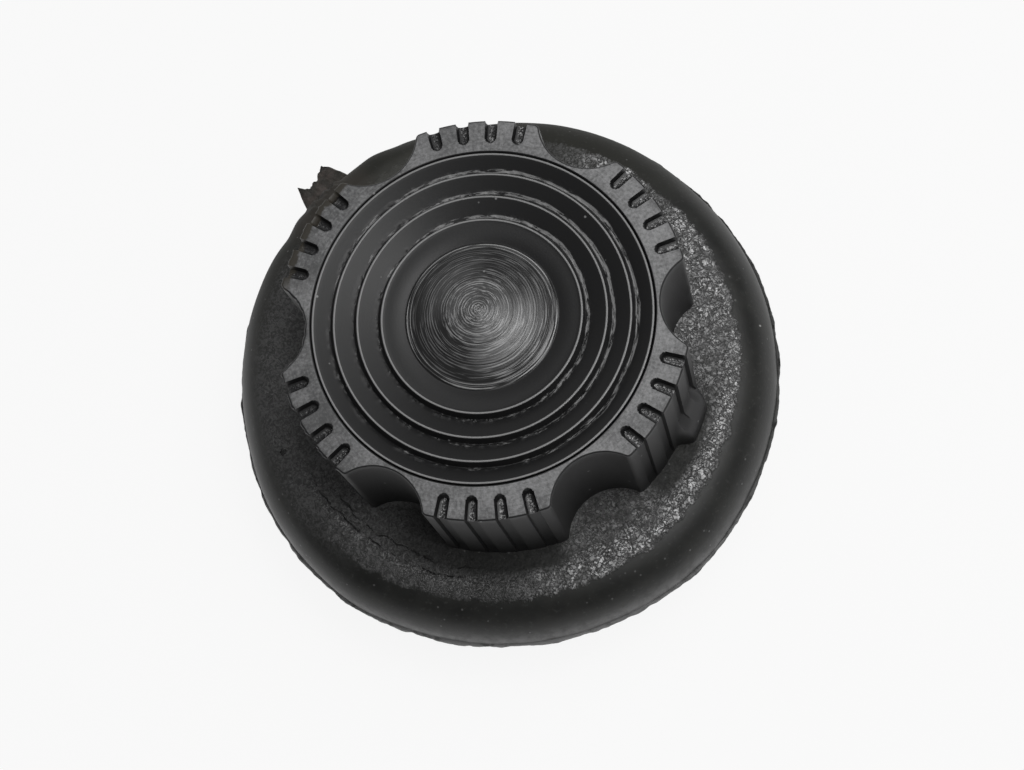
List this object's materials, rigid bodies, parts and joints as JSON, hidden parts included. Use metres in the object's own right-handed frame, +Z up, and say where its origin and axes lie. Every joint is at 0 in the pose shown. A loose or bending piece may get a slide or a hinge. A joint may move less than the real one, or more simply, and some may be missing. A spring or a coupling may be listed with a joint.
{
  "type": "oil filler cap",
  "caption": "Oil filler cap: a lobed, slotted plastic grip with stepped rings and a turned dome in its top, over a soft rubber cover; a hollow bayonet spigot below",
  "frame": {"origin": "On the cap's axis, in the plane of the spigot's open lower end, which the cap rests on", "axes": "+Z up along the cap's axis, towards the grip; +Y through the middle of one lobe; +X to its right seen from above"},
  "size_m": [0.076, 0.076, 0.0425],
  "materials": {
    "hard_plastic": "satin black, worn glossy on the stepped lands",
    "soft_rubber": "wrinkled black rubber with a smooth shoulder"
  },
  "bodies": {
    "root": {"grip_body": "hard_plastic", "rubber_cover": "soft_rubber"}
  },
  "joints": []
}
